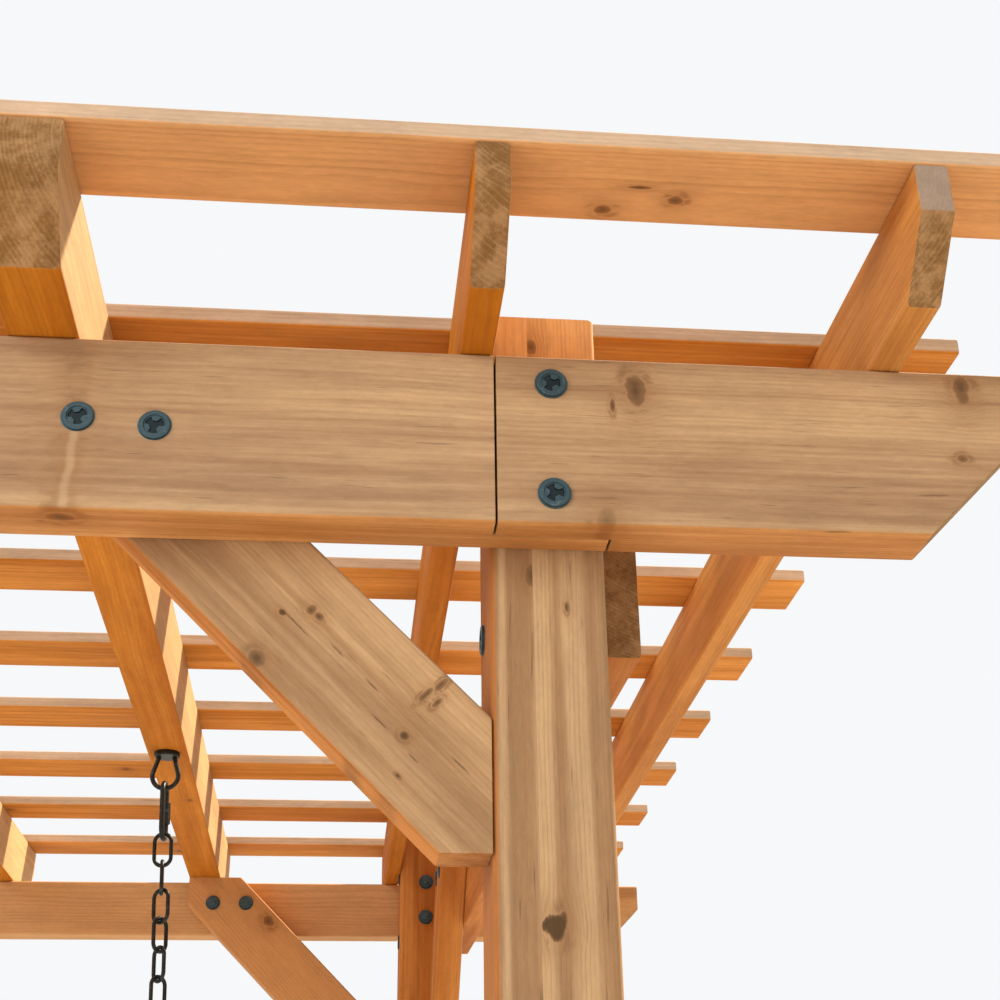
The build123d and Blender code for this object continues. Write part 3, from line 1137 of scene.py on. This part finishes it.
def bolt_to_beam(name, out, way, patterns, steel, draw):
    """Two bolts through a beam and its post, and two through the beam and its knee brace."""
    post, beam = corners(name + "_post"), corners(name + "_beam_end")
    brace = corners(name + "_knee_brace")
    middle = (post[0] + post[1]) / 2
    outer = beam[1].y if out > 0 else beam[0].y
    inner_x = post[0].x if way > 0 else post[1].x
    beam_grip = abs(outer - middle.y) + (post[1].y - post[0].y) / 2
    brace_grip = abs(outer - (brace[0].y if out > 0 else brace[1].y)) - BRACE_BOLT_SUNK
    for rank, share in zip(("lower", "upper"), BEAM_BOLT_SHARES):
        spot = Vector((middle.x, outer, beam[0].z + (beam[1].z - beam[0].z) * share))
        through_bolt(f"{name}_{rank}_beam_bolt", patterns, steel, spot, Y * out, beam_grip,
                     draw.uniform(0, 1))
    for rank, (along, up) in zip(("near", "far"), FRONT_BRACE_BOLTS if out < 0 else REAR_BRACE_BOLTS):
        spot = Vector((inner_x - way * along, outer - out * BRACE_BOLT_SUNK, beam[0].z + up))
        through_bolt(f"{name}_{rank}_brace_bolt", patterns, steel, spot, Y * out, brace_grip,
                     draw.uniform(0, 1))


def bolt_to_rail(name, out, way, head, steel, draw):
    """Bolts driven into a side rail from within, through its post and its side brace."""
    post, strut = corners(name + "_post"), corners(name + "_side_brace")
    rail = corners(("right" if way > 0 else "left") + "_side_rail")
    slope = rail_slope(rail)
    inner_x = post[0].x if way > 0 else post[1].x
    inner_y = post[0].y if out > 0 else post[1].y
    strut_x = strut[0].x if way > 0 else strut[1].x
    driven = [(inner_x, inner_y + out * RAIL_BOLT_IN, up) for up in RAIL_BOLTS_UP]
    driven += [(strut_x, inner_y - out * along, up) for along, up in SIDE_BRACE_BOLTS]
    for count, (x, y, up) in enumerate(driven):
        spot = Vector((x + way * RAIL_BOLT_SUNK, y, rail[0].z + slope * (y - rail[0].y) + up))
        bolt_head(f"{name}_rail_bolt_{count + 1}", head, steel, spot, X * -way, draw.uniform(0, 1))


def drive_bolts():
    """The bolts that hold the beams and rails to the posts and to the knee braces."""
    steel = black_steel("bolt_black_steel", BOLT_STEEL, 0.6)
    # The recess material is painted shade, not a coat of the steel
    shade = black_steel("bolt_recess_painted_shade", RECESS_PAINTED_SHADE, 0.2)
    patterns = (bolt_head_pattern(steel, shade), nut_pattern())
    draw = random.Random(BOLT_SEED)
    for end, out in (("front", -1), ("rear", 1)):
        for side, way in (("right", 1), ("left", -1)):
            name = f"{end}_{side}"
            bolt_to_beam(name, out, way, patterns, steel, draw)
            bolt_to_rail(name, out, way, patterns[0], steel, draw)
    discard(*patterns)


def drive_screws():
    """Two screws through each slat into each rafter."""
    steel = black_steel("screw_black_steel", CHAIN_STEEL, 0.25)
    pattern = screw_pattern()
    draw = random.Random(SCREW_SEED)
    rafters = [corners(node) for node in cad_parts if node.endswith("_rafter")]
    slats = sorted(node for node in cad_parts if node.startswith("roof_slat"))
    for slat in slats:
        low, high = corners(slat)
        driven = []
        for rafter_low, rafter_high in rafters:
            for share in SCREW_SHARES:
                x = (rafter_low.x + rafter_high.x) / 2 + draw.uniform(-SCREW_STRAY, SCREW_STRAY)
                y = low.y + (high.y - low.y) * share + draw.uniform(-SCREW_STRAY, SCREW_STRAY)
                turned = facing(Vector((x, y, high.z)), Z, draw.uniform(0, 6))
                driven.append(copy_to(pattern, "screw", turned))
        seat(join(slat + "_screws", driven), steel, "black_steel")
    discard(pattern)


build_woodwork()
hang_chains()
drive_bolts()
drive_screws()


# Stage: floor, backdrop, lamps and camera

FLOOR_SIZE = 30
FLOOR_DEEP = (0.44, 0.44, 0.43, 1)
FLOOR_PALE = (0.50, 0.50, 0.49, 1)
SURROUND_SEEN = (0.93, 0.94, 0.95, 1)
SURROUND_LIGHT = (1.0, 0.99, 0.97, 1)
SURROUND_POWER = 0.7

# Each lamp's name, place, what it is aimed at, size in metres, power in watts and colour
LAMPS = (
    ("key", (-2.2, -3.8, 3.3), (0.8, -0.6, 1.9), 2.8, 132, (1, 1, 1)),
    ("sun", (9.1, 3.7, 12.5), (0.8, 0.0, 1.9), 1.3, 4900, (1.0, 0.85, 0.67)),
    ("ground", (0.0, -1.3, 0.4), (0.6, -0.2, 2.1), 1.8, 5, (1.0, 0.94, 0.84)),
)

# The camera stands in front of the right front post and looks up at its corner
CAMERA_PLACE = Vector((0.9014, -1.8869, 1.4090))
CAMERA_YAW = 0.105
CAMERA_PITCH = 0.463
CAMERA_ROLL = -0.015
CAMERA_LENS = 56.44
CAMERA_SENSOR = 36
CAMERA_NEAR = 0.02


def plain_floor():
    deselect()
    bpy.ops.mesh.primitive_plane_add(size=FLOOR_SIZE, location=(0, 0, 0))
    floor = bpy.context.object
    floor.name = "floor"
    coat = Finish("floor_pale", Roughness=0.9, Specular_IOR_Level=0.2)
    place = coat.add("TexCoord", output="Object")
    coat.set(Base_Color=coat.mix(coat.noise(place, 1.5, 3.0), FLOOR_DEEP, FLOOR_PALE))
    floor.data.materials.append(coat.material)


def surround():
    """A pale surround that the camera and reflections see whiter than it lights the frame."""
    world = bpy.data.worlds.new("surround")
    bpy.context.scene.world = world
    world.use_nodes = True
    tree = world.node_tree
    tree.nodes.clear()
    kinds = ("OutputWorld", "MixShader", "Background", "Background", "LightPath", "Math")
    out, mix, seen, lights, rays, either = [tree.nodes.new("ShaderNode" + kind) for kind in kinds]
    either.operation = "MAXIMUM"
    for glow, colour, power in ((seen, SURROUND_SEEN, 1.0), (lights, SURROUND_LIGHT, SURROUND_POWER)):
        glow.inputs["Color"].default_value = colour
        glow.inputs["Strength"].default_value = power
    for source, socket in ((rays.outputs["Is Camera Ray"], either.inputs[0]),
                           (rays.outputs["Is Glossy Ray"], either.inputs[1]),
                           (either.outputs[0], mix.inputs[0]), (lights.outputs[0], mix.inputs[1]),
                           (seen.outputs[0], mix.inputs[2]), (mix.outputs[0], out.inputs["Surface"])):
        tree.links.new(source, socket)


def lamp(name, place, target, size, power, colour):
    """A soft square lamp aimed at a point."""
    deselect()
    bpy.ops.object.light_add(type="AREA", location=place)
    light = bpy.context.object
    light.name = name
    light.rotation_euler = (Vector(target) - Vector(place)).to_track_quat("-Z", "Y").to_euler()
    light.data.size = size
    light.data.energy = power
    light.data.color = colour


def camera():
    ahead = Vector((math.sin(CAMERA_YAW) * math.cos(CAMERA_PITCH),
                    math.cos(CAMERA_YAW) * math.cos(CAMERA_PITCH), math.sin(CAMERA_PITCH)))
    level = Vector((math.cos(CAMERA_YAW), -math.sin(CAMERA_YAW), 0))
    up = level.cross(ahead)
    right = level * math.cos(CAMERA_ROLL) + up * math.sin(CAMERA_ROLL)
    top = up * math.cos(CAMERA_ROLL) - level * math.sin(CAMERA_ROLL)
    data = bpy.data.cameras.new("camera")
    data.lens = CAMERA_LENS
    data.sensor_width = CAMERA_SENSOR
    data.clip_start = CAMERA_NEAR
    eye = bpy.data.objects.new("camera", data)
    bpy.context.scene.collection.objects.link(eye)
    turned = Matrix((right, top, -ahead)).transposed().to_4x4()
    eye.matrix_world = Matrix.Translation(CAMERA_PLACE) @ turned
    bpy.context.scene.camera = eye


plain_floor()
surround()
for values in LAMPS:
    lamp(*values)
camera()
bpy.context.scene.view_settings.view_transform = "Standard"
